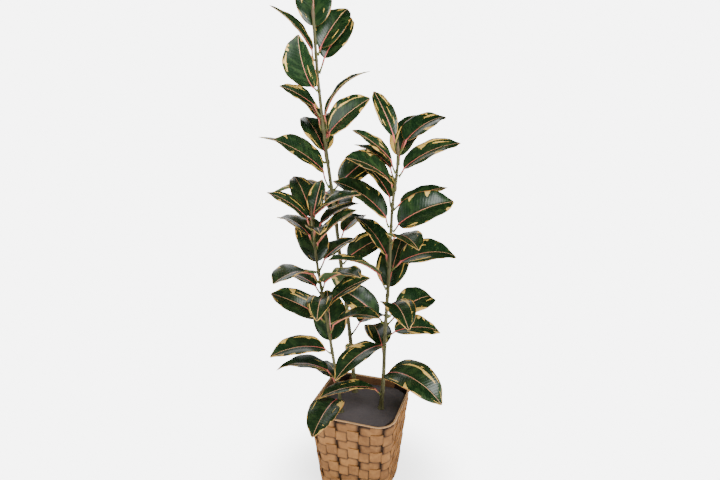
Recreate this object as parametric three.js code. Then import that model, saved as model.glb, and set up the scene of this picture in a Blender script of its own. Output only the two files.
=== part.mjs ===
// Rubber plant in a square woven basket. Millimetres, +Z up, origin at the middle of the flat base.
// The basket's sides lie along X and Y. Three stems stand in the soil and carry the leaves one by one.
import * as THREE from "three";

// Basket: a square shell with rounded corners that widens from its base to its mouth.
const BASKET_HEIGHT = 280;
const MOUTH_SIDE = 262;
const BASE_SIDE = 206;
const MOUTH_CORNER = 52;
const BASE_CORNER = 42;
const WALL = 8;
const FLOOR = 10;
const RIM_BULGE = 2;
const RIM_HEIGHT = 12;
const RIM_EASE = 2;
const MOUTH_ROUND = 1;
const BASE_BEVEL = 3;
const CORNER_STEPS = 6;

// Soil: fills the basket to just under the rim, with a gap to the wall. Its surface sinks at the edge in
// two steps, each with its drop and its distance in from the soil's side.
const SOIL_TOP = 260;
const SOIL_EDGE_DROP = 4;
const SOIL_SHOULDER_DROP = 1;
const SOIL_SHOULDER_IN = 8;
const SOIL_LEVEL_IN = 30;
const GAP = 0.4;

// Leaves: a petiole and an oval blade folded a little along its midrib.
const PETIOLE_RADIUS = 1.8;
const PETIOLE_LIFT = 22;
const FOOT_FLARE = 1.3;
const FOOT_REACH = 2.6; // how far a petiole's tilted foot reaches back towards its stem
const MIDRIB_THICK = 2.2;
const EDGE_THICK = 1.0;
const EDGE_HALF_LEAST = 1;
const RIB_TAPER = 0.4;
const FOLD = 0.2;
const BLADE_STEPS = 8;
const STEM_SIDES = 8;
const STEM_STEP = 45;
const BUD_LENGTH = 38;
const BUD_SWELL = 1.25;
const BUD_POINT = 0.25;
const LEAST_TURN = 1e-3; // radians, the bend given to a straight blade
const HEIGHT_HALVINGS = 30;

// Stems: radius at the foot and below the bud, and the points the middle of each one passes through.
const STEMS = {
  a: {
    radius: [6.5, 4],
    path: [
      [-38, 59, SOIL_TOP + GAP], [-52, 58, 435], [-64, 56, 550], [-80, 53, 690], [-95, 51, 835],
      [-112, 48, 970], [-125, 47, 1085], [-136, 47, 1190], [-142, 47, 1285], [-148, 48, 1385],
    ],
  },
  b: {
    radius: [6, 3.6],
    path: [
      [63, 0, SOIL_TOP + GAP], [68, 4, 350], [71, 6, 510], [75, 8, 600], [80, 12, 735],
      [84, 15, 875], [94, 19, 960], [94, 20, 1045],
    ],
  },
  c: {
    radius: [5, 3.4],
    path: [
      [-43, -56, SOIL_TOP + GAP], [-48, -59, 340], [-60, -64, 425], [-73, -70, 530], [-88, -77, 645],
      [-100, -83, 750], [-108, -88, 880],
    ],
  },
};

// Leaves of each stem from the foot up: height where it leaves the stem, compass direction, rise of the
// blade at its foot, how far it bends down to its tip, roll about its length (all degrees), then blade
// length, blade width and petiole length.
const LEAVES = {
  a: [
    [450, 70, 10, 50, 0, 165, 85, 45],
    [540, 290, 65, 30, 0, 160, 90, 45],
    [678, 15, 40, 30, 45, 130, 80, 25],
    [793, 105, 35, 40, 0, 160, 90, 30],
    [878, 183, 20, 55, 0, 170, 85, 18],
    [895, 48, 38, 35, 50, 165, 82, 25],
    [904, 235, 45, 30, -45, 165, 98, 60],
    [971, 200, 25, 15, 5, 170, 50, 28],
    [975, 140, 50, 28, 0, 150, 92, 28],
    [1034, 345, 45, 25, 62, 148, 98, 28],
    [1061, 15, 75, 65, 15, 180, 46, 38],
    [1061, 155, 48, 30, 0, 150, 48, 30],
    [1164, 246, 54, 34, 180, 138, 122, 20],
    [1242, 196, 62, 35, -16, 160, 56, 26],
    [1212, 54, 58, 30, 40, 155, 80, 38],
    [1258, 52, 58, 32, 40, 150, 82, 17],
    [1298, 115, 70, 20, 0, 160, 98, 28],
  ],
  b: [
    [307, 229, 32, 45, 0, 190, 60, 24],
    [363, 325, 34, 88, 18, 205, 108, 24],
    [459, 246, 15, 50, 0, 190, 80, 15],
    [488, 40, 8, 45, 18, 168, 90, 25],
    [532, 197, 44, 30, -45, 148, 80, 30],
    [525, 52, 26, 55, 28, 165, 90, 42],
    [577, 304, 35, 75, 0, 165, 84, 21],
    [613, 84, 62, 25, 0, 160, 98, 23],
    [637, 225, 45, 45, 0, 170, 72, 48],
    [689, 32, 24, 58, 22, 188, 100, 34],
    [700, 142, 48, 35, 15, 165, 90, 28],
    [770, 308, 28, 50, 0, 155, 78, 25],
    [800, 0, 42, 55, 50, 165, 102, 28],
    [812, 205, 55, 50, -35, 178, 84, 29],
    [860, 48, 20, 25, 15, 170, 50, 24],
    [870, 140, 45, 30, 15, 160, 92, 22],
    [913, 242, 45, 40, -42, 160, 88, 24],
    [950, 20, 42, 45, 28, 172, 74, 23],
    [982, 80, 58, 28, 0, 145, 80, 19],
    [1018, 145, 60, 25, -20, 150, 52, 35],
    [1010, 48, 42, 40, 15, 150, 88, 34],
  ],
  c: [
    [297, 270, 20, 42, 0, 182, 88, 29],
    [370, 180, 20, 60, 0, 175, 75, 28],
    [452, 222, 28, 60, -16, 162, 80, 22],
    [464, 118, 66, 25, 0, 150, 98, 21],
    [518, 340, 45, 50, 10, 165, 72, 30],
    [548, 203, 38, 35, -40, 150, 78, 25],
    [585, 350, 50, 30, 30, 150, 80, 23],
    [612, 285, 30, 70, 0, 130, 66, 16],
    [631, 160, 24, 58, 0, 165, 70, 24],
    [649, 330, 45, 50, 0, 160, 84, 22],
    [690, 133, 58, 28, 0, 155, 92, 30],
    [668, 255, 30, 45, 0, 160, 90, 39],
    [765, 348, 55, 30, 30, 150, 72, 15],
    [774, 150, 30, 45, 0, 155, 62, 25],
    [830, 135, 55, 35, 0, 150, 78, 17],
    [828, 86, 66, 18, 0, 100, 50, 26],
    [846, 345, 45, 40, 20, 150, 66, 12],
  ],
};

// Surface materials, one per kind of piece.
const finish = (color, roughness) =>
  new THREE.MeshStandardMaterial({ color, roughness, metalness: 0 });

// A closed solid skinned over a row of equal loops of points, each running anticlockwise as seen from
// the end the row leads to. Both ends are capped with a fan from the loop's middle.
function loft(loops) {
  const count = loops[0].length;
  const points = loops.flat();
  const faces = [];
  for (let i = 0; i + 1 < loops.length; i++) {
    for (let j = 0; j < count; j++) {
      const a = i * count + j;
      const b = i * count + ((j + 1) % count);
      faces.push(a, b, b + count, a, b + count, a + count);
    }
  }
  for (const [row, turn] of [[0, 1], [loops.length - 1, 0]]) {
    const middle = loops[row].reduce((sum, p) => sum.add(p), new THREE.Vector3());
    points.push(middle.divideScalar(count));
    for (let j = 0; j < count; j++) {
      const edge = [row * count + j, row * count + ((j + 1) % count)];
      faces.push(points.length - 1, edge[turn], edge[1 - turn]);
    }
  }
  const shape = new THREE.BufferGeometry().setFromPoints(points);
  shape.setIndex(faces);
  shape.computeVertexNormals();
  return shape;
}

// A level square loop with rounded corners.
function squareLoop(side, corner, z) {
  const loop = [];
  const reach = side / 2 - corner;
  for (let quarter = 0; quarter < 4; quarter++) {
    const middle = (quarter + 0.5) * Math.PI / 2;
    const cx = Math.sign(Math.cos(middle)) * reach;
    const cy = Math.sign(Math.sin(middle)) * reach;
    for (let k = 0; k <= CORNER_STEPS; k++) {
      const a = (quarter + k / CORNER_STEPS) * Math.PI / 2;
      loop.push(new THREE.Vector3(cx + corner * Math.cos(a), cy + corner * Math.sin(a), z));
    }
  }
  return loop;
}

// The basket's outline at a height, drawn in by a distance from its outer face.
function basketLoop(z, inset) {
  const t = z / BASKET_HEIGHT;
  const side = BASE_SIDE + (MOUTH_SIDE - BASE_SIDE) * t;
  const corner = BASE_CORNER + (MOUTH_CORNER - BASE_CORNER) * t;
  return squareLoop(side - 2 * inset, corner - inset, z);
}

function basketShape() {
  const loops = [basketLoop(0, BASE_BEVEL), basketLoop(BASE_BEVEL, 0), basketLoop(BASKET_HEIGHT / 2, 0)];
  loops.push(basketLoop(BASKET_HEIGHT - RIM_HEIGHT, 0));
  loops.push(basketLoop(BASKET_HEIGHT - RIM_HEIGHT + RIM_EASE, -RIM_BULGE));
  loops.push(basketLoop(BASKET_HEIGHT - RIM_EASE, -RIM_BULGE));
  loops.push(basketLoop(BASKET_HEIGHT, 0));
  loops.push(basketLoop(BASKET_HEIGHT, WALL - MOUTH_ROUND));
  loops.push(basketLoop(BASKET_HEIGHT - RIM_EASE, WALL));
  loops.push(basketLoop(FLOOR, WALL));
  return loft(loops);
}

function soilShape() {
  const side = WALL + GAP;
    return loft([
    basketLoop(FLOOR + GAP, side),
    basketLoop(SOIL_TOP - SOIL_EDGE_DROP, side),
    basketLoop(SOIL_TOP - SOIL_SHOULDER_DROP, side + SOIL_SHOULDER_IN),
    basketLoop(SOIL_TOP, side + SOIL_LEVEL_IN),
  ]);
}

// A stem: a round rod along a smooth path that ends in a pointed bud.
const curves = {};
function stemRadius(stem, along) {
  return THREE.MathUtils.lerp(stem.radius[0], stem.radius[1], along);
}

function stemShape(name) {
  const stem = STEMS[name];
  const curve = curves[name];
  const length = curve.getLength();
  const stops = [];
  for (let s = 0; s < length - BUD_LENGTH - STEM_STEP / 2; s += STEM_STEP) stops.push([s, 1]);
  stops.push([length - BUD_LENGTH, 1], [length - BUD_LENGTH * 0.7, BUD_SWELL], [length - 1, BUD_POINT]);
  return loft(stops.map(([s, swell]) => {
    const centre = curve.getPointAt(s / length);
    const radius = stemRadius(stem, s / length) * swell;
    const loop = [];
    for (let k = 0; k < STEM_SIDES; k++) {
      const a = 2 * Math.PI * k / STEM_SIDES;
      loop.push(new THREE.Vector3(Math.cos(a), Math.sin(a), 0).multiplyScalar(radius).add(centre));
    }
    return loop;
  }));
}

// Where a stem's middle is at a height, and how thick it is there.
function stemAt(name, z) {
  let low = 0;
  let high = 1;
  for (let i = 0; i < HEIGHT_HALVINGS; i++) {
    const mid = (low + high) / 2;
    if (curves[name].getPointAt(mid).z < z) low = mid;
    else high = mid;
  }
  return { point: curves[name].getPointAt(low), radius: stemRadius(STEMS[name], low) };
}

// Half the blade's width at a share of its length, for a blade 1 wide: widest a little before the middle,
// with a pointed tip.
const bladeHalf = (t) => 2.36 * Math.pow(t, 0.55) * Math.pow(1 - t, 0.7) / 2;

function leafShape(stem, [height, compass, rise, bend, roll, length, width, petiole]) {
  const foot = stemAt(stem, height);
  const rad = THREE.MathUtils.degToRad;
  const turn = Math.max(rad(bend), LEAST_TURN);
  const lift = rad(PETIOLE_LIFT);
  const base = new THREE.Vector2(petiole * Math.cos(lift), petiole * Math.sin(lift));
  const sections = [
    { x: 0, z: 0, angle: lift, half: PETIOLE_RADIUS * FOOT_FLARE, deep: PETIOLE_RADIUS * 2, fold: 0 },
    {
      x: base.x * 0.5, z: base.y * 0.55, angle: lift,
      half: PETIOLE_RADIUS, deep: PETIOLE_RADIUS * 1.6, fold: 0,
    },
  ];
  for (let i = 0; i <= BLADE_STEPS; i++) {
    const t = i / BLADE_STEPS;
    const half = Math.max(width * bladeHalf(t), i ? EDGE_HALF_LEAST : PETIOLE_RADIUS);
    sections.push({
      x: base.x + length * Math.sin(turn * t) / turn,
      z: base.y - length * (1 - Math.cos(turn * t)) / turn,
      angle: -turn * t,
      half,
      deep: i ? MIDRIB_THICK * (1 - RIB_TAPER * t) : PETIOLE_RADIUS * 1.5,
      fold: i ? FOLD : 0,
    });
  }
  const place = new THREE.Matrix4().makeRotationZ(rad(compass));
  place.multiply(new THREE.Matrix4().makeRotationY(-rad(rise)));
  place.multiply(new THREE.Matrix4().makeRotationX(rad(roll)));
  const out = new THREE.Vector3(Math.cos(rad(compass)), Math.sin(rad(compass)), 0);
  const start = foot.point.clone().addScaledVector(out, foot.radius + FOOT_REACH + GAP);
  return loft(sections.map((s) => {
    const up = new THREE.Vector3(-Math.sin(s.angle), 0, Math.cos(s.angle));
    const edge = EDGE_THICK / 2;
    const raise = s.fold * s.half;
    const corners = [
      [s.half, raise + edge], [0, s.deep / 2], [-s.half, raise + edge],
      [-s.half, raise - edge], [0, -s.deep / 2], [s.half, raise - edge],
    ];
    return corners.map(([across, high]) =>
      new THREE.Vector3(s.x, across, s.z).addScaledVector(up, high).applyMatrix4(place).add(start));
  }));
}

const plant = new THREE.Group();
function add(name, geometry, material) {
  const mesh = new THREE.Mesh(geometry, material);
  mesh.name = name;
  plant.add(mesh);
}

add("basket", basketShape(), finish(0xab8159, 0.7));
add("soil", soilShape(), finish(0x443f41, 0.95));
for (const name of Object.keys(STEMS)) {
  curves[name] = new THREE.CatmullRomCurve3(STEMS[name].path.map((p) => new THREE.Vector3(...p)));
  add("stem_" + name, stemShape(name), finish(0x47422a, 0.65));
}
for (const [name, rows] of Object.entries(LEAVES)) {
  rows.forEach((row, i) => {
    const number = String(i + 1).padStart(2, "0");
    add("leaf_" + name + "_" + number, leafShape(name, row), finish(0x34502c, 0.3));
  });
}

export default plant;
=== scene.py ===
import math

import bpy
import numpy as np
from mathutils import Euler, Matrix, Vector, noise


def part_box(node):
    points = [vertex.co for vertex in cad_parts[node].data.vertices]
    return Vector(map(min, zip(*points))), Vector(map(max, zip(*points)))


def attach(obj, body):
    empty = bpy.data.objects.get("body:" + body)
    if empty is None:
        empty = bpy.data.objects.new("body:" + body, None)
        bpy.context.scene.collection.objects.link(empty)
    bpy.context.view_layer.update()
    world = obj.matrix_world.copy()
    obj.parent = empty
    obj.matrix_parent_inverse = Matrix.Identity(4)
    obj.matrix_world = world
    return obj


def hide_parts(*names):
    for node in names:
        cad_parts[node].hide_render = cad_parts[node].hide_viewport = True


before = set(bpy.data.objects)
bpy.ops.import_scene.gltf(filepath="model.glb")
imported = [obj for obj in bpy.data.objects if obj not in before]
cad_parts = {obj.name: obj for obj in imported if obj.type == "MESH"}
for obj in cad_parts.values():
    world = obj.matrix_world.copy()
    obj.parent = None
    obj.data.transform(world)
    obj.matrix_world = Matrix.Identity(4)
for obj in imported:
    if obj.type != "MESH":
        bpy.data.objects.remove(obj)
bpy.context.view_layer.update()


# ---------------------------------------------------------------- basket, wall
# The basket is woven from flat strips of palm leaf about 31 mm wide. Level strips show as bowed pads two
# cells long, and upright strips as pairs of short pads, the left one tucked in at its top and the right one
# lying over the strip above it. The strips are held only by each other and by the rim.
BASKET_COLUMNS = 26
BASKET_ROWS = 9
STRIP_HEIGHT = 0.0036
STRIP_UNDER = 0.0018
STRIP_CROWN = 0.0008
RIGHT_CROWN = 0.0006
# Each pad in cells from the middle of its cell: its left, right, lower and upper edges.
LEVEL_PAD = (-0.5, 1.5, -0.60, 0.60)
LEFT_PAD = (-0.5, 0.5, -0.66, 0.46)
RIGHT_PAD = (-0.5, 0.5, -0.46, 0.68)
PAD_STEPS = 14
CORNER_STEPS = 8
TINT_SEED = 4


def new_material(name):
    material = bpy.data.materials.new(name)
    material.use_nodes = True
    return material, material.node_tree.nodes, material.node_tree.links


def mesh_object(name, vertices, faces, smooth=True):
    mesh = bpy.data.meshes.new(name)
    mesh.from_pydata([tuple(v) for v in vertices], [], faces)
    mesh.validate()
    mesh.update()
    for polygon in mesh.polygons:
        polygon.use_smooth = smooth
    made = bpy.data.objects.new(name, mesh)
    bpy.context.scene.collection.objects.link(made)
    return made


def socket_in(group, name, kind, default=None):
    socket = group.interface.new_socket(name=name, in_out="INPUT", socket_type=kind)
    if default is not None:
        socket.default_value = default
    return socket


def socket_out(group, name, kind):
    return group.interface.new_socket(name=name, in_out="OUTPUT", socket_type=kind)


def corner_square(side, corner, z):
    """A level square loop with rounded corners, starting in the middle of the side that faces +Y."""
    reach = side / 2 - corner
    loop = [Vector((0, side / 2, z))]
    for quarter in (1, 2, 3, 0):
        middle = (quarter + 0.5) * math.pi / 2
        cx = math.copysign(reach, math.cos(middle))
        cy = math.copysign(reach, math.sin(middle))
        for k in range(CORNER_STEPS + 1):
            a = (quarter + k / CORNER_STEPS) * math.pi / 2
            loop.append(Vector((cx + corner * math.cos(a), cy + corner * math.sin(a), z)))
    return loop


def loop_curve(name, points):
    curve = bpy.data.curves.new(name, "CURVE")
    curve.dimensions = "3D"
    spline = curve.splines.new("POLY")
    spline.points.add(len(points) - 1)
    for target, p in zip(spline.points, points):
        target.co = (*p, 1)
    spline.use_cyclic_u = True
    made = bpy.data.objects.new(name, curve)
    bpy.context.scene.collection.objects.link(made)
    return made


def hump(value, centre, width):
    """A smooth bump of height 1 at a centre."""
    return math.exp(-(((value - centre) / width) ** 2))


def level_surface(x, y):
    """Height and painted shade of a level pad: it dives at both ends and lies under the short pads above it.
    """
    end = abs(x - 0.5)
    height = STRIP_HEIGHT * (1 - end**5 * 1.25) + STRIP_CROWN * (1 - (y / 0.6) ** 2)
    # Painted shade: dark where the pad dives at both ends, a painted shadow line just below the edges of the
    # short pads that lie over it, full shade under them, and a painted shadow line along its lower edge.
    cover = 0.34 if x < 0.5 else 0.54
    painted_shade = hump(end, 1.0, 0.21) + 0.85 * (hump(y, cover - 0.03, 0.10) if y < cover else 1)
    return height, painted_shade + 0.5 * hump(y, -0.6, 0.06)


def left_surface(x, y):
    """An upright strip that comes out from under the pad above and lies over the one below. It is painted in
    shade where it comes out from under the pad above and along its right edge, with painted shadow lines
    along its lower and left edges.
    """
    height = STRIP_HEIGHT * (0.35 + 1.05 * min(1, max(0, (0.46 - y) / 0.8)))
    painted_shade = 0.95 * hump(y, 0.42, 0.14) + 0.9 * hump(x, 0.5, 0.09) + 0.5 * hump(y, -0.66, 0.06)
    return height, painted_shade + 0.25 * hump(x, -0.5, 0.05)


def right_surface(x, y):
    """An upright strip that lies over the pad above and over its left neighbour, with painted shadow lines
    along its lower and right edges.
    """
    height = STRIP_HEIGHT * (1.15 + 0.25 * y) + RIGHT_CROWN * (1 - 4 * x * x)
    return height, 0.45 * hump(y, -0.46, 0.06) + 0.35 * hump(x, 0.5, 0.06)


def basket_pad(name, edges, surface):
    """One pad on a flat sheet where a cell is 1 by 1, with its height over the wall in metres and its painted
    shade as a point attribute.
    """
    left, right, low, high = edges
    across = round((right - left) * PAD_STEPS)
    rise = round((high - low) * PAD_STEPS)
    count = across + 1
    vertices, faces, painted_shades = [], [], []
    for j in range(rise + 1):
        for i in range(count):
            x = left + (right - left) * i / across
            y = low + (high - low) * j / rise
            height, painted_shade = surface(x, y)
            vertices.append((x, y, height))
            painted_shades.append(min(1, painted_shade))
    for j in range(rise):
        for i in range(across):
            a = j * count + i
            faces.append((a, a + 1, a + 1 + count, a + count))
    ring = list(range(count)) + [j * count + across for j in range(1, rise + 1)]
    ring += [rise * count + i for i in range(across - 1, -1, -1)]
    ring += [j * count for j in range(rise - 1, 0, -1)]
    base, total = len(vertices), len(ring)
    # The pad's sides and flat underside are painted in full shade.
    for i in ring:
        vertices.append((vertices[i][0], vertices[i][1], -STRIP_UNDER))
        painted_shades.append(1)
    for k in range(total):
        n = (k + 1) % total
        faces.append((ring[k], base + k, base + n, ring[n]))
    faces.append(tuple(base + k for k in range(total - 1, -1, -1)))
    pad = mesh_object(name, vertices, faces)
    for polygon in pad.data.polygons:
        polygon.use_smooth = polygon.index < rise * across
    painted_shade_layer = pad.data.attributes.new("painted_shade", "FLOAT", "POINT")
    painted_shade_layer.data.foreach_set("value", painted_shades)
    return pad


def weave_tree():
    """Lays pads on a flat grid, one per cell, then wraps the sheet round the basket between two loops."""
    tree = bpy.data.node_groups.new("Basket Weave", "GeometryNodeTree")
    socket_in(tree, "Geometry", "NodeSocketGeometry")
    columns = socket_in(tree, "Columns", "NodeSocketInt", BASKET_COLUMNS)
    rows = socket_in(tree, "Rows", "NodeSocketInt", BASKET_ROWS)
    level_pad = socket_in(tree, "Level Pad", "NodeSocketObject")
    left_pad = socket_in(tree, "Left Pad", "NodeSocketObject")
    right_pad = socket_in(tree, "Right Pad", "NodeSocketObject")
    mouth = socket_in(tree, "Mouth Loop", "NodeSocketObject")
    foot = socket_in(tree, "Foot Loop", "NodeSocketObject")
    wrap = socket_in(tree, "Strip Material", "NodeSocketMaterial")
    socket_out(tree, "Geometry", "NodeSocketGeometry")
    nodes, links = tree.nodes, tree.links
    source = nodes.new("NodeGroupInput")
    sink = nodes.new("NodeGroupOutput")

    def math_node(kind, a, b=None):
        node = nodes.new("ShaderNodeMath")
        node.operation = kind
        for slot_index, value in ((0, a), (1, b)):
            if value is None:
                continue
            if isinstance(value, (int, float)):
                node.inputs[slot_index].default_value = value
            else:
                links.new(value, node.inputs[slot_index])
        return node.outputs[0]

    total = math_node("MULTIPLY", source.outputs["Columns"], source.outputs["Rows"])
    line = nodes.new("GeometryNodeMeshLine")
    line.mode = "OFFSET"
    links.new(total, line.inputs["Count"])
    line.inputs["Offset"].default_value = (0, 0, 0)
    index = nodes.new("GeometryNodeInputIndex").outputs[0]
    column = math_node("MODULO", index, source.outputs["Columns"])
    row = math_node("FLOOR", math_node("DIVIDE", index, source.outputs["Columns"]))
    odd_column = math_node("MODULO", column, 2)
    odd_row = math_node("MODULO", row, 2)
    even_column = math_node("SUBTRACT", 1, odd_column)
    level = math_node("MULTIPLY", even_column, math_node("SUBTRACT", 1, odd_row))
    short_left = math_node("MULTIPLY", even_column, odd_row)
    short_right = math_node("MULTIPLY", odd_column, odd_row)
    place = nodes.new("ShaderNodeCombineXYZ")
    links.new(math_node("ADD", column, 0.5), place.inputs["X"])
    links.new(math_node("ADD", row, 0.5), place.inputs["Y"])
    grid = nodes.new("GeometryNodeSetPosition")
    links.new(line.outputs["Mesh"], grid.inputs["Geometry"])
    links.new(place.outputs[0], grid.inputs["Position"])
    joined = nodes.new("GeometryNodeJoinGeometry")
    for name, keep in (("Level Pad", level), ("Left Pad", short_left), ("Right Pad", short_right)):
        info = nodes.new("GeometryNodeObjectInfo")
        links.new(source.outputs[name], info.inputs["Object"])
        put = nodes.new("GeometryNodeInstanceOnPoints")
        links.new(grid.outputs["Geometry"], put.inputs["Points"])
        links.new(info.outputs["Geometry"], put.inputs["Instance"])
        links.new(keep, put.inputs["Selection"])
        links.new(put.outputs["Instances"], joined.inputs["Geometry"])
    tint = nodes.new("FunctionNodeRandomValue")
    tint.data_type = "FLOAT"
    tint.inputs["Seed"].default_value = TINT_SEED
    store = nodes.new("GeometryNodeStoreNamedAttribute")
    store.data_type = "FLOAT"
    store.domain = "INSTANCE"
    store.inputs["Name"].default_value = "strip_tint"
    links.new(joined.outputs["Geometry"], store.inputs["Geometry"])
    links.new(tint.outputs["Value"], store.inputs["Value"])
    real = nodes.new("GeometryNodeRealizeInstances")
    links.new(store.outputs["Geometry"], real.inputs["Geometry"])

    position = nodes.new("GeometryNodeInputPosition").outputs[0]
    flat = nodes.new("ShaderNodeSeparateXYZ")
    links.new(position, flat.inputs[0])
    around = math_node("FRACT", math_node("DIVIDE", flat.outputs["X"], source.outputs["Columns"]))
    # The first and last rows end at the foot and at the rim, so their pads are cut level there.
    capped = math_node("MINIMUM", math_node("MAXIMUM", flat.outputs["Y"], 0), source.outputs["Rows"])
    upward = math_node("DIVIDE", capped, source.outputs["Rows"])
    ends = []
    for name in ("Foot Loop", "Mouth Loop"):
        info = nodes.new("GeometryNodeObjectInfo")
        links.new(source.outputs[name], info.inputs["Object"])
        sample = nodes.new("GeometryNodeSampleCurve")
        sample.mode = "FACTOR"
        sample.use_all_curves = False
        links.new(info.outputs["Geometry"], sample.inputs["Curves"])
        links.new(around, sample.inputs["Factor"])
        ends.append(sample)
    between = nodes.new("ShaderNodeMix")
    between.data_type = "VECTOR"
    between.clamp_factor = False
    links.new(upward, between.inputs["Factor"])
    links.new(ends[0].outputs["Position"], between.inputs[4])
    links.new(ends[1].outputs["Position"], between.inputs[5])
    cross = nodes.new("ShaderNodeVectorMath")
    cross.operation = "CROSS_PRODUCT"
    links.new(ends[1].outputs["Tangent"], cross.inputs[0])
    cross.inputs[1].default_value = (0, 0, 1)
    unit = nodes.new("ShaderNodeVectorMath")
    unit.operation = "NORMALIZE"
    links.new(cross.outputs[0], unit.inputs[0])
    out = nodes.new("ShaderNodeVectorMath")
    out.operation = "SCALE"
    links.new(unit.outputs[0], out.inputs[0])
    links.new(flat.outputs["Z"], out.inputs["Scale"])
    final = nodes.new("ShaderNodeVectorMath")
    final.operation = "ADD"
    links.new(between.outputs[1], final.inputs[0])
    links.new(out.outputs[0], final.inputs[1])
    # The place on the flat sheet stays with each vertex, and the strips' fibres follow it.
    keep_place = nodes.new("GeometryNodeStoreNamedAttribute")
    keep_place.data_type = "FLOAT_VECTOR"
    keep_place.domain = "POINT"
    keep_place.inputs["Name"].default_value = "sheet"
    links.new(real.outputs["Geometry"], keep_place.inputs["Geometry"])
    links.new(position, keep_place.inputs["Value"])
    bend = nodes.new("GeometryNodeSetPosition")
    links.new(keep_place.outputs["Geometry"], bend.inputs["Geometry"])
    links.new(final.outputs[0], bend.inputs["Position"])
    coat = nodes.new("GeometryNodeSetMaterial")
    links.new(bend.outputs["Geometry"], coat.inputs["Geometry"])
    links.new(source.outputs["Strip Material"], coat.inputs["Material"])
    links.new(coat.outputs["Geometry"], sink.inputs["Geometry"])
    named = (columns, rows, level_pad, left_pad, right_pad, mouth, foot, wrap)
    return tree, {s.name: s.identifier for s in named}


def baked(made):
    """The object's geometry with its modifiers applied, as a plain mesh."""
    bpy.context.view_layer.update()
    graph = bpy.context.evaluated_depsgraph_get()
    plain = bpy.data.meshes.new_from_object(made.evaluated_get(graph))
    made.modifiers.clear()
    old = made.data
    made.data = plain
    bpy.data.meshes.remove(old)
    return made


class Graph:
    """Short calls for the nodes of a material or of a group."""

    def __init__(self, tree):
        self.nodes, self.links = tree.nodes, tree.links

    def feed(self, value, socket):
        if isinstance(value, bpy.types.NodeSocket):
            self.links.new(value, socket)
        else:
            socket.default_value = value

    def node(self, kind, **inputs):
        """A node with its inputs fed by name, where _ stands for a space."""
        made = self.nodes.new(kind)
        for name, value in inputs.items():
            self.feed(value, made.inputs[name.replace("_", " ")])
        return made

    def attribute(self, name, output):
        made = self.nodes.new("ShaderNodeAttribute")
        made.attribute_name = name
        return made.outputs[output]

    def noise(self, place, scale, detail=2.0):
        return self.node("ShaderNodeTexNoise", Vector=place, Scale=scale, Detail=detail).outputs["Fac"]

    def ramp(self, value, low, high, start=0.0, end=1.0):
        """A colour that runs from low to high while the value runs from start to end."""
        made = self.node("ShaderNodeValToRGB", Fac=value)
        for element, stop, colour in zip(made.color_ramp.elements, (start, end), (low, high)):
            element.position, element.color = stop, (*colour, 1)
        return made.outputs["Color"]

    def mix(self, factor, a, b, blend="MIX"):
        made = self.nodes.new("ShaderNodeMix")
        made.data_type, made.blend_type = "RGBA", blend
        self.feed(factor, made.inputs["Factor"])
        self.feed(a, made.inputs[6])
        self.feed(b, made.inputs[7])
        return made.outputs[2]

    def relief(self, height, strength, distance):
        """A normal that follows a fine height, for a shader's Normal."""
        made = self.node("ShaderNodeBump", Height=height, Strength=strength, Distance=distance)
        return made.outputs[0]

    def do(self, kind, a, b=0.0):
        made = self.nodes.new("ShaderNodeMath")
        made.operation = kind
        self.feed(a, made.inputs[0])
        self.feed(b, made.inputs[1])
        return made.outputs[0]

    def step(self, value, low, high):
        """0 below low and 1 above high, smooth between them."""
        made = self.node("ShaderNodeMapRange", Value=value, From_Min=low, From_Max=high)
        made.interpolation_type = "SMOOTHSTEP"
        return made.outputs[0]

    def grain(self, x, y, z, detail=2.0):
        spot = self.node("ShaderNodeCombineXYZ", X=x, Y=y, Z=z)
        return self.noise(spot.outputs[0], 1.0, detail)


def strip_material():
    """Tan leaf strips with fine lengthwise fibres, with painted shade where one strip dives under another and
    painted shadow lines along the pads' edges.
    """
    material, nodes, links = new_material("palm_strip")
    g = Graph(material.node_tree)
    shader = nodes["Principled BSDF"]
    sheet = g.attribute("sheet", "Vector")
    stretch = g.node("ShaderNodeMapping", Vector=sheet, Scale=(26, 1.3, 1))
    fibre = g.noise(stretch.outputs[0], 1.0, 4)
    base = g.ramp(g.attribute("strip_tint", "Fac"), (0.112, 0.044, 0.0080), (0.190, 0.080, 0.0155))
    lines = g.ramp(fibre, (0.74, 0.66, 0.6), (1, 1, 1), 0.35, 0.6)
    blot = g.node("ShaderNodeMapRange", Value=g.noise(sheet, 1.7), From_Min=0.45, From_Max=0.75, To_Max=0.45)
    warm = g.mix(blot.outputs[0], g.mix(0.55, base, lines, "MULTIPLY"), (0.240, 0.110, 0.026, 1))
    # The pads' painted shade darkens the strips to near black in the dips, under the overlaps and on the
    # pads' sides.
    strip_with_painted_shade = g.mix(g.attribute("painted_shade", "Fac"), warm, (0.012, 0.005, 0.002, 1))
    links.new(strip_with_painted_shade, shader.inputs["Base Color"])
    shader.inputs["Roughness"].default_value = 0.6
    shader.inputs["Specular IOR Level"].default_value = 0.25
    links.new(g.relief(fibre, 0.25, 0.001), shader.inputs["Normal"])
    return material


RIM_BULGE = 0.002
RIM_DROP = 0.0022
FOOT_RISE = 0.002
basket_low, basket_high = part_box("basket")
basket_top = basket_high[2]
mouth_side = basket_high[0] - basket_low[0] - 2 * RIM_BULGE
base_side = 0.206
mouth_corner, base_corner = 0.052, 0.042
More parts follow.
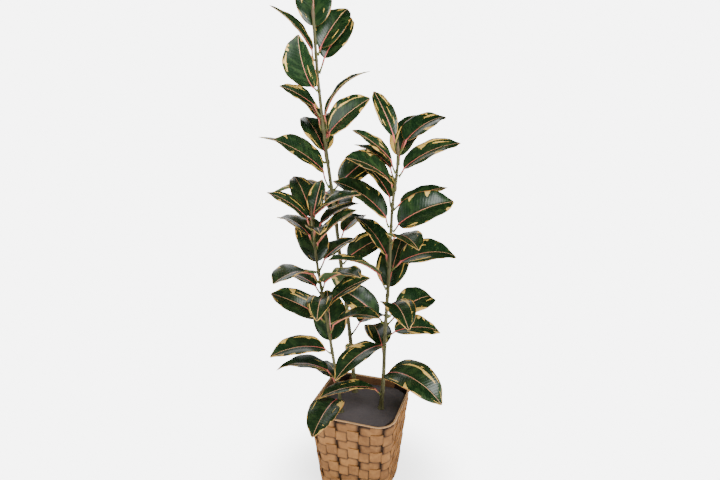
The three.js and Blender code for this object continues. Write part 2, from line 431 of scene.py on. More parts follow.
# The strips stand out from the wall, so the loops they are wrapped between lie a little inside it.
wall_in = 0.0048
mouth_loop = loop_curve(
    "mouth_loop", corner_square(mouth_side - 2 * wall_in, mouth_corner, basket_top - RIM_DROP)
)
foot_loop = loop_curve("foot_loop", corner_square(base_side - 2 * wall_in, base_corner, FOOT_RISE))
weave = mesh_object("basket_weave", [(0, 0, 0)], [])
tree, names = weave_tree()
modifier = weave.modifiers.new("weave", "NODES")
modifier.node_group = tree
palm = strip_material()
pads = {
    "Level Pad": basket_pad("pad_level", LEVEL_PAD, level_surface),
    "Left Pad": basket_pad("pad_left", LEFT_PAD, left_surface),
    "Right Pad": basket_pad("pad_right", RIGHT_PAD, right_surface),
}
modifier[names["Columns"]] = BASKET_COLUMNS
modifier[names["Rows"]] = BASKET_ROWS
for pad_name, pad in pads.items():
    modifier[names[pad_name]] = pad
modifier[names["Mouth Loop"]] = mouth_loop
modifier[names["Foot Loop"]] = foot_loop
modifier[names["Strip Material"]] = palm
baked(weave)
for spare in (*pads.values(), mouth_loop, foot_loop):
    bpy.data.objects.remove(spare)
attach(weave, "root")
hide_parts("basket")


# ------------------------------------------------- basket, backing, rim and floor
# Behind the weave the basket has a plain stiff liner board of the same brown, open at the top. The strips
# end in a narrow rolled rim glued over the liner's upper edge. The bottom is a flat board.
def ring_shell(name, loops):
    """Quads between equal loops, the first and the last closed with a fan."""
    count = len(loops[0])
    vertices = [p for loop in loops for p in loop]
    faces = []
    for i in range(len(loops) - 1):
        for j in range(count):
            a, b = i * count + j, i * count + (j + 1) % count
            faces.append((a, b, b + count, a + count))
    for start, turn in ((0, True), ((len(loops) - 1) * count, False)):
        middle = sum((vertices[start + j] for j in range(count)), Vector()) / count
        vertices.append(middle)
        for j in range(count):
            edge = (start + j, start + (j + 1) % count)
            edge = edge[::-1] if turn else edge
            faces.append((*edge, len(vertices) - 1))
    return mesh_object(name, vertices, faces)


def liner_loop(z, inset):
    """The basket's outline at a height, drawn in from its outer face."""
    t = z / basket_top
    side = base_side + (mouth_side - base_side) * t
    corner = base_corner + (mouth_corner - base_corner) * t
    return corner_square(side - 2 * inset, corner - inset, z)


liner = ring_shell(
    "basket_liner",
    [
        liner_loop(0.0, 0.0100),
        liner_loop(0.0, 0.0074),
        liner_loop(0.003, 0.0069),
        liner_loop(basket_top - 0.0030, 0.0069),
        liner_loop(basket_top - 0.0019, 0.0062),
        liner_loop(basket_top - 0.0018, 0.0010),
        liner_loop(basket_top - 0.0010, 0.0003),
        liner_loop(basket_top - 0.0002, 0.0012),
        liner_loop(basket_top, 0.0040),
        liner_loop(basket_top - 0.0008, 0.0076),
        liner_loop(basket_top - 0.0030, 0.0083),
        liner_loop(basket_top - 0.0120, 0.0085),
        liner_loop(0.012, 0.0087),
    ],
)


def liner_material():
    """Brown board with a painted highlight, a paler band along the top of the rolled rim."""
    material, nodes, links = new_material("liner_board")
    g = Graph(material.node_tree)
    shader = nodes["Principled BSDF"]
    place = g.node("ShaderNodeTexCoord").outputs["Object"]
    height = g.node("ShaderNodeSeparateXYZ", Vector=place).outputs["Z"]
    # Painted highlight: the rolled rim turns paler towards its top.
    low, high = basket_top - 0.0035, basket_top - 0.0012
    rim_highlight = g.node("ShaderNodeMapRange", Value=height, From_Min=low, From_Max=high)
    tone = g.ramp(g.noise(place, 260), (0.085, 0.036, 0.010), (0.14, 0.062, 0.019))
    links.new(g.mix(rim_highlight.outputs[0], tone, (0.42, 0.24, 0.11, 1)), shader.inputs["Base Color"])
    shader.inputs["Roughness"].default_value = 0.65
    return material


liner.data.materials.append(liner_material())
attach(liner, "root")
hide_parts("basket")


# ----------------------------------------------------------------------- soil
# The basket is filled with dark, fine, evenly pressed soil to about 20 mm under the rim. It lies loose
# against the liner all round and is level, with only shallow dents.
SOIL_RINGS = 26
SOIL_AROUND = 96
SOIL_INSET = 0.0090
SOIL_FOOT = 0.014
SOIL_SINK = 0.0015
SOIL_EDGE_DROP = 0.003
soil_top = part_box("soil")[1][2]


def soil_piece():
    rings, around = SOIL_RINGS, SOIL_AROUND
    outline = liner_loop(soil_top, SOIL_INSET)
    lengths = [0.0]
    for a, b in zip(outline, outline[1:] + outline[:1]):
        lengths.append(lengths[-1] + (b - a).length)
    closed = outline + outline[:1]
    edge = []
    for k in range(around):
        goal = lengths[-1] * k / around
        i = max(j for j in range(len(outline)) if lengths[j] <= goal)
        edge.append(closed[i].lerp(closed[i + 1], (goal - lengths[i]) / (lengths[i + 1] - lengths[i])))
    vertices = [Vector((0, 0, SOIL_FOOT))]
    loops = []
    low = [p.copy() for p in edge]
    scale = base_side / mouth_side
    for p in low:
        p.x, p.y, p.z = p.x * scale, p.y * scale, SOIL_FOOT
    loops.append(low)
    for r in range(rings):
        share = 1 - r / rings
        loop = []
        for p in edge:
            q = Vector((p.x * share, p.y * share, 0))
            dent = noise.noise(q * 22) * 0.0016 + noise.noise(q * 75) * 0.0008
            dent += noise.noise(q * 300) * 0.0005
            rim = -SOIL_EDGE_DROP * max(0, (share - 0.9) / 0.1) ** 2
            loop.append(Vector((q.x, q.y, soil_top - SOIL_SINK + dent + rim)))
        loops.append(loop)
    faces = []
    for loop in loops:
        vertices.extend(loop)
    for i in range(len(loops) - 1):
        for j in range(around):
            a, b = 1 + i * around + j, 1 + i * around + (j + 1) % around
            faces.append((a, b, b + around, a + around))
    for j in range(around):
        faces.append((1 + (j + 1) % around, 1 + j, 0))
    top = len(vertices)
    vertices.append(Vector((0, 0, soil_top - SOIL_SINK)))
    last = 1 + (len(loops) - 1) * around
    for j in range(around):
        faces.append((last + j, last + (j + 1) % around, top))
    return mesh_object("soil_bed", vertices, faces)


def soil_material():
    """Fine grit in two dark greys with wide faint patches."""
    material, nodes, links = new_material("dark_soil")
    g = Graph(material.node_tree)
    shader = nodes["Principled BSDF"]
    place = g.node("ShaderNodeTexCoord").outputs["Object"]
    grit = g.noise(place, 420, 6)
    both = nodes.new("ShaderNodeMix")
    both.inputs["Factor"].default_value = 0.35
    links.new(grit, both.inputs[2])
    links.new(g.noise(place, 18), both.inputs[3])
    tone = g.ramp(both.outputs[0], (0.046, 0.038, 0.039), (0.074, 0.062, 0.064), 0.3, 0.72)
    links.new(tone, shader.inputs["Base Color"])
    shader.inputs["Roughness"].default_value = 0.95
    links.new(g.relief(grit, 0.3, 0.001), shader.inputs["Normal"])
    return material


soil = soil_piece()
soil.data.materials.append(soil_material())
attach(soil, "root")
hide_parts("soil")


# ---------------------------------------------------------------------- stems
# Three slim woody stems stand in the soil, grey-green and smooth, with a raised ring at each height where
# a leaf is or was attached. Each ends in a pointed bud wrapped in a brown-green sheath.
def node_points(name):
    """The distinct vertices of a CAD node."""
    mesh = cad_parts[name].data
    flat = np.zeros(len(mesh.vertices) * 3)
    mesh.vertices.foreach_get("co", flat)
    return np.unique(np.round(flat.reshape(-1, 3), 5), axis=0)


def stem_line(name):
    """The middle and the radius of each level ring of vertices of a CAD stem, from the foot up."""
    points = node_points(name)
    rings = []
    for z in np.unique(np.round(points[:, 2], 4)):
        ring = points[np.abs(points[:, 2] - z) < 6e-5]
        middle = ring.mean(axis=0)
        radius = np.linalg.norm(ring - middle, axis=1).max()
        if radius > 5e-4:
            rings.append((middle, radius))
    return rings


STEM_AROUND = 16
STEM_RISE = 0.004
STEM_SINK = 0.004
SCAR_HEIGHT = 0.0010
SCAR_SPREAD = 0.0035
FOOT_SWELL = 0.0035
FOOT_SPREAD = 0.008
FOOT_HEIGHT = 0.04
BARK_ROUGH = 0.05
BUD_LENGTH = 0.042
BUD_FADE = 0.006


def stem_piece(name, scars):
    rings = stem_line(name)
    heights = np.array([m[2] for m, _ in rings])
    middles = np.array([m for m, _ in rings])
    radii = np.array([r for _, r in rings])
    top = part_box(name)[1][2]
    levels = np.arange(soil_top - STEM_SINK, top, STEM_RISE)
    vertices, faces = [], []
    for z in levels:
        centre = [np.interp(z, heights, middles[:, 0]), np.interp(z, heights, middles[:, 1]), z]
        radius = np.interp(z, heights, radii)
        for scar in scars:
            radius += SCAR_HEIGHT * math.exp(-(((z - scar) / SCAR_SPREAD) ** 2))
        if z < soil_top + FOOT_HEIGHT:
            radius += FOOT_SWELL * math.exp(-(z - soil_top) / FOOT_SPREAD)
        for k in range(STEM_AROUND):
            a = 2 * math.pi * k / STEM_AROUND
            rough = 1 + BARK_ROUGH * noise.noise(Vector((math.cos(a) * 2, math.sin(a) * 2, z * 40)))
            vertices.append((
                centre[0] + math.cos(a) * radius * rough,
                centre[1] + math.sin(a) * radius * rough,
                z,
            ))
    for i in range(len(levels) - 1):
        for k in range(STEM_AROUND):
            a, b = i * STEM_AROUND + k, i * STEM_AROUND + (k + 1) % STEM_AROUND
            faces.append((a, b, b + STEM_AROUND, a + STEM_AROUND))
    vertices.append((middles[0][0], middles[0][1], levels[0]))
    vertices.append((middles[-1][0], middles[-1][1], top))
    last = (len(levels) - 1) * STEM_AROUND
    for k in range(STEM_AROUND):
        n = (k + 1) % STEM_AROUND
        faces.append((n, k, len(vertices) - 2))
        faces.append((last + k, last + n, len(vertices) - 1))
    made = mesh_object(name + "_bark", vertices, faces)
    young = made.data.attributes.new("young", "FLOAT", "POINT")
    tip = [max(0.0, min(1.0, (v.co.z - (top - BUD_LENGTH)) / BUD_FADE)) for v in made.data.vertices]
    young.data.foreach_set("value", tip)
    return made


def bark_material():
    """Green-brown bark with fine lengthwise streaks, browner on the bud."""
    material, nodes, links = new_material("green_bark")
    g = Graph(material.node_tree)
    shader = nodes["Principled BSDF"]
    place = g.node("ShaderNodeTexCoord").outputs["Object"]
    stretch = g.node("ShaderNodeMapping", Vector=place, Scale=(160, 160, 45))
    streak = g.noise(stretch.outputs[0], 1.0, 4)
    tone = g.ramp(streak, (0.038, 0.038, 0.008), (0.082, 0.074, 0.020), 0.3, 0.7)
    young = g.mix(g.attribute("young", "Fac"), tone, (0.075, 0.050, 0.020, 1))
    links.new(young, shader.inputs["Base Color"])
    shader.inputs["Roughness"].default_value = 0.6
    return material


leaf_names = sorted(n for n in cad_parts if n.startswith("leaf_"))
bark = bark_material()
for stem_name in ("stem_a", "stem_b", "stem_c"):
    mine = [n for n in leaf_names if n[5] == stem_name[-1]]
    stem_feet = [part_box(stem_name)[0][2] + 0.02]
    for n in mine:
        points = node_points(n)
        axis = stem_line(stem_name)
        zs = [m[2] for m, _ in axis]
        xs, ys = [m[0] for m, _ in axis], [m[1] for m, _ in axis]
        away = [
            math.hypot(p[0] - np.interp(p[2], zs, xs), p[1] - np.interp(p[2], zs, ys)) for p in points
        ]
        stem_feet.append(points[int(np.argmin(away))][2])
    stem = stem_piece(stem_name, stem_feet)
    stem.data.materials.append(bark)
    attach(stem, "root")
    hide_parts(stem_name)


# --------------------------------------------------------------------- leaves
# Each leaf is a thick glossy oval blade folded a little along a raised midrib, on a round petiole that
# leaves the stem just above a scar. The blade is green with paler zones, edged with ragged cream. The
# pieces follow the line, length, width and tilt of their own CAD solids.
PETIOLE_RADIUS = 0.0027
LEAF_THICK = 0.0009
BLADE_ALONG = 36
BLADE_ACROSS = 9
BLADE_FOLD = 0.40
BLADE_DROOP = 0.11
VEIN_SLANT = 0.55
VEIN_GAP = 0.0085
PLEAT_HEIGHT = 0.00022
WIDE_RIPPLE = 0.0016
FINE_RIPPLE = 0.0009
PETIOLE_STEPS = 9
PETIOLE_SAG = 0.06
FOOT_TUCK = 0.0025
FOOT_SWELL_SHARE = 0.5
RIB_STEPS = 24
RIB_END = 0.96
RIB_SUNK = 0.62
ROD_SIDES = 8


def leaf_frame(name):
    """The midrib of a CAD leaf from its foot to its tip, its greatest half width, and the directions across
    the blade and out of its upper face."""
    points = node_points(name)
    centre = points.mean(axis=0)
    _, _, axes = np.linalg.svd(points - centre)
    best = None
    for axis in axes:
        away = (points - centre) @ axis
        mirrored = points - 2 * np.outer(away, axis)
        gap = max(np.abs(points - m).sum(axis=1).min() for m in mirrored)
        if best is None or gap < best[0]:
            best = (gap, axis, away)
    _, across, away = best
    mid = points[np.abs(away) < 4e-5]
    half = np.abs(away).max()
    spread = mid - mid.mean(axis=0)
    along = np.linalg.svd(spread)[2][0]
    order = mid[np.argsort(spread @ along)]
    wide = points[np.abs(away) > half - 2e-5].mean(axis=0)
    # The foot is the end with the narrow neck, farther from the widest section than the tip is.
    if np.linalg.norm(order[0] - wide) < np.linalg.norm(order[-1] - wide):
        order = order[::-1]
    # Points of one cross section lie within a midrib's thickness of each other.
    steps = []
    k = 0
    while k < len(order):
        group = [order[k]]
        while k + 1 < len(order) and np.linalg.norm(order[k + 1] - group[0]) < 0.0046:
            k += 1
            group.append(order[k])
        steps.append(np.mean(group, axis=0))
        k += 1
    steps = np.array(steps)
    near = steps[np.argmin(np.linalg.norm(steps - wide, axis=1))]
    tangent = steps[-1] - steps[0]
    up = np.cross(across, tangent)
    up /= np.linalg.norm(up)
    if (wide - near) @ up < 0:
        up, across = -up, -across
    return steps, half, across, up


def along_points(points, t):
    """A smooth curve through points at equal steps of t from 0 to 1."""
    spot = t * (len(points) - 1)
    i = min(int(spot), len(points) - 2)
    f = spot - i
    before = points[max(i - 1, 0)] if i else 2 * points[0] - points[1]
    after = points[i + 2] if i + 2 < len(points) else 2 * points[-1] - points[-2]
    a, b = points[i], points[i + 1]
    return (
        a
        + 0.5 * f * (b - before)
        + f * f * (before - 2.5 * a + 2 * b - 0.5 * after)
        + f**3 * (-0.5 * before + 1.5 * a - 1.5 * b + 0.5 * after)
    )


def blade_width(t):
    """Half width at a share of the length, 1 at its widest: round shoulders and a short drawn-out tip."""
    t = min(max(t, 0.0), 1.0)
    shape = 2.357 * t**0.55 * (1 - t) ** 0.7
    return shape * (1 - 0.22 * math.exp(-(((t - 0.95) / 0.05) ** 2)))


def leaf_piece(name, placed, seed):
    steps, half, across, up = placed
    blade = steps[2:]
    length = np.linalg.norm(np.diff(blade, axis=0), axis=1).sum()
    vertices, faces, tags, spots = [], [], [], []
    wave_a, wave_b = seed * 6.28, seed * 17.0

    def direction(t):
        d = along_points(blade, min(t + 0.01, 1)) - along_points(blade, max(t - 0.01, 0))
        return d / np.linalg.norm(d)

    stops = [0.5 - 0.5 * math.cos(math.pi * i / BLADE_ALONG) for i in range(BLADE_ALONG + 1)]
    stops = [0.35 * s + 0.65 * i / BLADE_ALONG for i, s in enumerate(stops)]
    shares = [0.0] + [(k / BLADE_ACROSS) ** 1.15 for k in range(1, BLADE_ACROSS + 1)]
    columns = [-s for s in reversed(shares[1:])] + shares
    for i, t in enumerate(stops):
        centre = along_points(blade, t)
        normal = np.cross(across, direction(t))
        normal *= np.sign(normal @ up)
        wide = max(half * blade_width(t), 0.0004)
        for face in (0, 1):
            for u in columns:
                m = abs(u)
                rise = wide * (BLADE_FOLD * math.sqrt(m * m + 0.004) - BLADE_DROOP * m**3)
                ripple = WIDE_RIPPLE * m**2.5 * math.sin(11 * t + wave_a + (1.9 if u > 0 else 0))
                ripple += FINE_RIPPLE * m**2 * math.sin(23 * t + wave_b - (2.3 if u > 0 else 0))
                pleat = PLEAT_HEIGHT * m * math.sin(
                    2 * math.pi * (t * length - VEIN_SLANT * m * wide) / VEIN_GAP
                )
                rise += (ripple + pleat) * min(1, 6 * t, 8 * (1 - t))
                thick = LEAF_THICK / 2 * (1 - 0.6 * m**4)
                rise += thick if face == 0 else -thick
                point = centre + across * (u * wide) + normal * rise
                vertices.append(point)
                tags.append((u, t, seed))
                spots.append((u * wide, t * length, float(face)))
    count = len(columns)
    stride = 2 * count

    def quad(a, b, c, d, flip):
        faces.append((d, c, b, a) if flip else (a, b, c, d))

    flip = np.cross(across, direction(0.5)) @ up < 0
    for i in range(BLADE_ALONG):
        for j in range(count - 1):
            a = i * stride + j
            quad(a, a + 1, a + 1 + stride, a + stride, not flip)
            a += count
            quad(a, a + stride, a + 1 + stride, a + 1, not flip)
        a, b = i * stride, i * stride + count
        quad(a, a + stride, b + stride, b, not flip)
        a, b = i * stride + count - 1, i * stride + stride - 1
        quad(a, b, b + stride, a + stride, not flip)
    for i, turned in ((0, flip), (BLADE_ALONG, not flip)):
        for j in range(count - 1):
            a = i * stride + j
            quad(a, a + 1, a + 1 + count, a + count, turned)

    # Petiole and midrib: one tapering round rod from the scar to near the blade's tip.
    out = steps[1] - steps[0]
    out /= np.linalg.norm(out)
    foot = steps[0] - out * FOOT_TUCK
    path = []
    petiole = np.linalg.norm(steps[2] - steps[0])
    for k in range(PETIOLE_STEPS):
        f = k / PETIOLE_STEPS
        straight = steps[0] + (steps[2] - steps[0]) * f
        sag = up * (-PETIOLE_SAG * petiole * math.sin(math.pi * f))
        swell = 1 + FOOT_SWELL_SHARE * math.exp(-f * PETIOLE_STEPS)
        path.append((foot if k == 0 else straight + sag, PETIOLE_RADIUS * swell, up, f - 1))
    for k in range(RIB_STEPS + 1):
        t = RIB_END * k / RIB_STEPS
        normal = np.cross(across, direction(t))
        normal *= np.sign(normal @ up)
        radius = PETIOLE_RADIUS * (1 - 0.82 * t**0.8)
        sunk = radius * (RIB_SUNK * min(1, 8 * t))
        path.append((along_points(blade, t) - normal * sunk, radius, normal, t))
    sides = ROD_SIDES
    base = len(vertices)
    for k, (centre, radius, normal, t) in enumerate(path):
        for s in range(sides):
            a = 2 * math.pi * s / sides
            side = across * (radius * math.cos(a)) + normal * (radius * math.sin(a))
            vertices.append(centre + side)
            tags.append((0.0, t, seed))
            spots.append((0.0, t * length, 0.0 if math.sin(a) > -0.2 else 1.0))
    for k in range(len(path) - 1):
        for s in range(sides):
            a, b = base + k * sides + s, base + k * sides + (s + 1) % sides
            quad(a, b, b + sides, a + sides, flip)
    faces.append(tuple(base + s for s in (range(sides) if flip else reversed(range(sides)))))
    last = base + (len(path) - 1) * sides
    faces.append(tuple(last + s for s in (reversed(range(sides)) if flip else range(sides))))
    made = mesh_object(name + "_blade", vertices, faces)
    for label, rows in (("blade", tags), ("place", spots)):
        layer = made.data.attributes.new(label, "FLOAT_VECTOR", "POINT")
        layer.data.foreach_set("vector", np.array(rows, dtype=np.float32).ravel())
    return made


def variegation_group():
    """Masks of a variegated leaf: cream margin and streaks, tan rim, paler zones, midrib, side veins."""
    tree = bpy.data.node_groups.new("Variegation", "ShaderNodeTree")
    socket_in(tree, "Blade", "NodeSocketVector")
    socket_in(tree, "Place", "NodeSocketVector")
    socket_in(tree, "Cream Reach", "NodeSocketFloat", 0.62)
    socket_in(tree, "Midrib Width", "NodeSocketFloat", 0.0017)
    for name in ("Cream", "Rim", "Pale", "Midrib", "Vein"):
        socket_out(tree, name, "NodeSocketFloat")
    g = Graph(tree)
    source = tree.nodes.new("NodeGroupInput")
    sink = tree.nodes.new("NodeGroupOutput")
    blade = tree.nodes.new("ShaderNodeSeparateXYZ")
    place = tree.nodes.new("ShaderNodeSeparateXYZ")
    tree.links.new(source.outputs["Blade"], blade.inputs[0])
    tree.links.new(source.outputs["Place"], place.inputs[0])
    u, t, seed = blade.outputs
    x, y, _ = place.outputs
    share = g.do("ABSOLUTE", u)
    edge = g.do("SUBTRACT", 1.0, share)
    side = g.do("SIGN", u)
    vein = g.do("SUBTRACT", y, g.do("MULTIPLY", g.do("ABSOLUTE", x), VEIN_SLANT))
    shift = g.do("ADD", g.do("MULTIPLY", seed, 91.0), g.do("MULTIPLY", side, 7.0))
    patch = g.grain(g.do("MULTIPLY", vein, 34.0), g.do("MULTIPLY", share, 0.7), shift, 1.0)
    teeth = g.grain(g.do("MULTIPLY", vein, 240.0), g.do("MULTIPLY", share, 1.2), shift, 2.0)
    reach = g.do("MULTIPLY", g.step(patch, 0.53, 0.82), source.outputs["Cream Reach"])
    ragged = g.do("ADD", 0.45, g.do("MULTIPLY", teeth, 1.1))
    tip = g.do("MULTIPLY", g.step(t, 0.86, 1.0), 0.3)
    depth = g.do("ADD", g.do("ADD", g.do("MULTIPLY", reach, ragged), 0.035), tip)
    inner = g.do("SUBTRACT", depth, 0.035)
    cream = g.do("SUBTRACT", 1.0, g.step(edge, inner, depth))
    streak = g.grain(
        g.do("MULTIPLY", y, 14.0), g.do("MULTIPLY", share, 5.5), g.do("ADD", shift, 57.0), 1.0
    )
    near_edge = g.do("MULTIPLY", g.step(share, 0.25, 0.6), 0.16)
    bar = g.do("SUBTRACT", 0.845, near_edge)
    streaks = g.step(g.do("ADD", streak, g.do("MULTIPLY", teeth, 0.10)), bar, g.do("ADD", bar, 0.015))
    tree.links.new(g.do("MAXIMUM", cream, streaks), sink.inputs["Cream"])
    rim = g.do("SUBTRACT", 1.0, g.step(edge, 0.02, 0.075))
    tree.links.new(rim, sink.inputs["Rim"])
    zones = g.grain(
        g.do("MULTIPLY", vein, 60.0), g.do("MULTIPLY", u, 2.2), g.do("ADD", shift, 31.0), 3.0
    )
    tree.links.new(g.step(zones, 0.46, 0.66), sink.inputs["Pale"])
    taper = g.do("SUBTRACT", 1.0, g.do("MULTIPLY", t, 0.6))
    wide = g.do("MULTIPLY", source.outputs["Midrib Width"], taper)
    line = g.do("SUBTRACT", 1.0, g.step(g.do("ABSOLUTE", x), g.do("MULTIPLY", wide, 0.6), wide))
    tree.links.new(line, sink.inputs["Midrib"])
    ridge = g.do("POWER", g.do("ABSOLUTE", g.do("SINE", g.do("MULTIPLY", vein, 370.0))), 0.35)
    tree.links.new(g.do("SUBTRACT", 1.0, ridge), sink.inputs["Vein"])
    return tree


def leaf_material():
    material, nodes, links = new_material("rubber_leaf")
    g = Graph(material.node_tree)
    shader = nodes["Principled BSDF"]
    masks = nodes.new("ShaderNodeGroup")
    masks.node_tree = variegation_group()
    blade = g.attribute("blade", "Vector")
    place = g.attribute("place", "Vector")
    links.new(blade, masks.inputs["Blade"])
    links.new(place, masks.inputs["Place"])
    # The second number of "blade" runs along the leaf: below 0 on the petiole, 0 to 1 on the blade.
    along = g.node("ShaderNodeSeparateXYZ", Vector=blade).outputs["Y"]
    # The third number of "place" is 0 on the upper face and 1 on the underside.
    under = g.node("ShaderNodeSeparateXYZ", Vector=place).outputs["Z"]
    green = g.mix(masks.outputs["Pale"], (0.0055, 0.018, 0.0055, 1), (0.018, 0.040, 0.011, 1))
    green = g.mix(g.do("MULTIPLY", masks.outputs["Vein"], 0.22), green, (0.030, 0.058, 0.022, 1))
    cream = g.mix(masks.outputs["Rim"], (0.56, 0.36, 0.085, 1), (0.42, 0.17, 0.04, 1))
    face = g.mix(masks.outputs["Cream"], green, cream)
    rib_low = g.mix(g.step(along, 0.05, 0.75), (0.48, 0.10, 0.09, 1), (0.50, 0.28, 0.16, 1))
    rib = g.mix(g.step(along, -0.75, -0.02), (0.085, 0.095, 0.024, 1), rib_low)
    face = g.mix(masks.outputs["Midrib"], face, rib)
    back = g.mix(masks.outputs["Cream"], (0.030, 0.052, 0.018, 1), (0.42, 0.29, 0.09, 1))
    back = g.mix(masks.outputs["Midrib"], back, g.mix(0.45, (0.09, 0.085, 0.03, 1), rib))
    links.new(g.mix(under, face, back), shader.inputs["Base Color"])
    rough = g.do("ADD", 0.27, g.do("MULTIPLY", under, 0.25))
    links.new(g.do("ADD", rough, g.do("MULTIPLY", masks.outputs["Cream"], 0.1)), shader.inputs["Roughness"])
    shader.inputs["Specular IOR Level"].default_value = 0.3
    links.new(g.relief(masks.outputs["Vein"], 0.35, 0.0006), shader.inputs["Normal"])
    return material


GOLDEN_STEP = 0.618034
leaf_skin = leaf_material()
for count, leaf_name in enumerate(leaf_names):
    leaf = leaf_piece(leaf_name, leaf_frame(leaf_name), (count * GOLDEN_STEP) % 1)
    leaf.data.materials.append(leaf_skin)
    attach(leaf, "root")
    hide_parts(leaf_name)


# --------------------------------------------------------------- young leaves
# Smaller leaves of the same make stand between the large ones on all three stems. They are narrower and
# their petioles are shorter, and each leaves its stem at its own height.
SMALL_PETIOLE = 0.032
SMALL_STEPS = 8
SMALL_FOOT_GAP = 0.0012
SMALL_SEED = 0.3
PETIOLE_LIFT = math.radians(22)
# The stem, then height, compass, rise, bend and roll, then length and width of the blade.
SMALL_LEAVES = [
    ("stem_a", 0.362, 300, 55, 30, 0, 0.130, 0.062),
    ("stem_a", 0.743, 75, 30, 35, 0, 0.120, 0.058),
    ("stem_a", 1.015, 100, 45, 30, 0, 0.115, 0.058),
    ("stem_a", 1.098, 205, 40, 22, -35, 0.105, 0.056),
    ("stem_b", 0.421, 119, 25, 45, 0, 0.140, 0.080),
    ("stem_b", 0.940, 165, 45, 40, 0, 0.130, 0.060),
    ("stem_b", 0.960, 200, 50, 25, -30, 0.130, 0.050),
    ("stem_c", 0.335, 140, 15, 40, 0, 0.120, 0.060),
    ("stem_c", 0.700, 60, 35, 35, 0, 0.120, 0.062),
    ("stem_c", 0.790, 300, 35, 50, 0, 0.105, 0.058),
    ("stem_c", 0.815, 205, 50, 30, -25, 0.125, 0.050),
    ("stem_c", 0.800, 40, 40, 35, 0, 0.120, 0.060),
]


def small_leaf_frame(stem_name, height, compass, rise, bend, roll, length, width):
    """The same facts that leaf_frame reads from a CAD leaf, for a leaf that grows from a stem at a height."""
    axis = stem_line(stem_name)
    zs = [m[2] for m, _ in axis]
    foot = np.array([np.interp(height, zs, [m[i] for m, _ in axis]) for i in range(3)])
    radius = np.interp(height, zs, [r for _, r in axis])
    turn = math.radians(compass)
    away = np.array([math.cos(turn), math.sin(turn), 0.0])
    lift = math.radians(rise)
    petiole_rise = lift + PETIOLE_LIFT
    heading = away * math.cos(petiole_rise) + np.array([0, 0, math.sin(petiole_rise)])
    start = foot + away * (radius + SMALL_FOOT_GAP)
    steps = [start, start + heading * SMALL_PETIOLE * 0.5, start + heading * SMALL_PETIOLE]
    for k in range(SMALL_STEPS):
        angle = lift - math.radians(bend) * (k + 0.5) / SMALL_STEPS
        heading = away * math.cos(angle) + np.array([0, 0, math.sin(angle)])
        steps.append(steps[-1] + heading * length / SMALL_STEPS)
    steps = np.array(steps)
    level = np.array([-math.sin(turn), math.cos(turn), 0.0])
    tangent = steps[-1] - steps[2]
    upright = np.cross(tangent, level)
    upright /= np.linalg.norm(upright)
    if upright[2] < 0:
        upright = -upright
    tip = math.radians(roll)
    across = level * math.cos(tip) + upright * math.sin(tip)
    up = upright * math.cos(tip) - level * math.sin(tip)
    return steps, width / 2, across, up


for count, (stem_name, *values) in enumerate(SMALL_LEAVES):
    placed = small_leaf_frame(stem_name, *values)
    seed = (SMALL_SEED + count * (1 - GOLDEN_STEP)) % 1
    small_leaf = leaf_piece(f"small_leaf_{count + 1:02d}", placed, seed)
    small_leaf.data.materials.append(leaf_skin)
    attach(small_leaf, "root")


# ------------------------------------------------- floor, light and camera
# A wide pale floor under the basket, a soft even studio light, and the camera in front of the basket and
# above it, looking down a little.
STUDIO_GLOW = 6.5
FLOOR_REACH = 40
floor_corners = [(x * FLOOR_REACH, y * FLOOR_REACH, 0) for x, y in ((-1, -1), (1, -1), (1, 1), (-1, 1))]
floor = mesh_object("studio_floor", floor_corners, [(0, 1, 2, 3)])
floor_material, floor_nodes, floor_links = new_material("pale_floor")
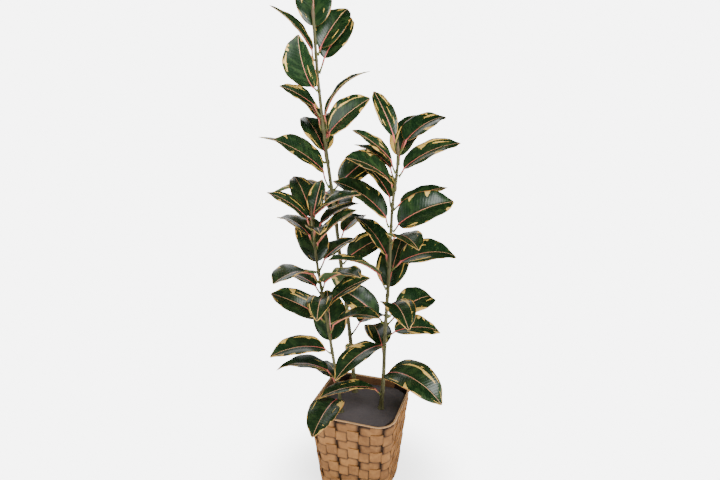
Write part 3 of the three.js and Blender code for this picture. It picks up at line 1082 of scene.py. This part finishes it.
# Near the basket the floor is matt white board, and further out it glows as brightly as the studio walls.
g = Graph(floor_material.node_tree)
distance = g.node("ShaderNodeVectorMath")
distance.operation = "LENGTH"
floor_links.new(g.node("ShaderNodeTexCoord").outputs["Object"], distance.inputs[0])
glow = g.node("ShaderNodeMapRange", Value=distance.outputs["Value"], From_Min=0.12, From_Max=0.38, To_Min=0.4)
glow.interpolation_type = "SMOOTHSTEP"
board = floor_nodes["Principled BSDF"]
board.inputs["Roughness"].default_value = 0.9
board.inputs["Specular IOR Level"].default_value = 0.0
board.inputs["Emission Color"].default_value = (1, 1, 1, 1)
floor_links.new(g.do("MULTIPLY", glow.outputs[0], STUDIO_GLOW), board.inputs["Emission Strength"])
paint = g.mix(glow.outputs[0], (0.92, 0.92, 0.92, 1), (0, 0, 0, 1))
floor_links.new(paint, board.inputs["Base Color"])
floor.data.materials.append(floor_material)
floor.visible_glossy = False

world = bpy.data.worlds.new("studio")
bpy.context.scene.world = world
world.use_nodes = True
world.node_tree.nodes["Background"].inputs["Color"].default_value = (1, 1, 1, 1)
world.node_tree.nodes["Background"].inputs["Strength"].default_value = STUDIO_GLOW
# The white walls are only a backdrop, and the soft boxes light the plant.
world.cycles_visibility.diffuse = False
world.cycles_visibility.glossy = False


def soft_light(name, place, aim_height, size, power):
    place = turned @ Vector(place)
    data = bpy.data.lights.new(name, "AREA")
    data.shape = "DISK"
    data.size = size
    data.energy = power
    lamp = bpy.data.objects.new(name, data)
    lamp.location = place
    lamp.rotation_euler = (Vector((0, 0, aim_height)) - place).to_track_quat("-Z", "Y").to_euler()
    bpy.context.scene.collection.objects.link(lamp)


VIEW_TURN = math.radians(18.1)
turned = Matrix.Rotation(VIEW_TURN, 4, "Z")
soft_light("key", (0.9, -2.0, 3.0), 0.7, 1.6, 120)
soft_light("left_fill", (-2.4, -1.0, 1.5), 0.6, 2.0, 45)
soft_light("right_fill", (2.4, -0.6, 1.3), 0.6, 2.0, 45)
soft_light("back_fill", (-0.6, 2.4, 1.9), 0.6, 2.0, 24)

camera_data = bpy.data.cameras.new("camera")
camera_data.sensor_width = 36
camera_data.lens = 27.5
camera = bpy.data.objects.new("camera", camera_data)
camera.location = turned @ Vector((-0.0024, -1.446, 0.917)) + Vector((0, 0, 0.280))
camera.rotation_euler = Euler((math.radians(73.6), 0, VIEW_TURN), "XYZ")
bpy.context.scene.collection.objects.link(camera)
bpy.context.scene.camera = camera

bpy.context.view_layer.update()
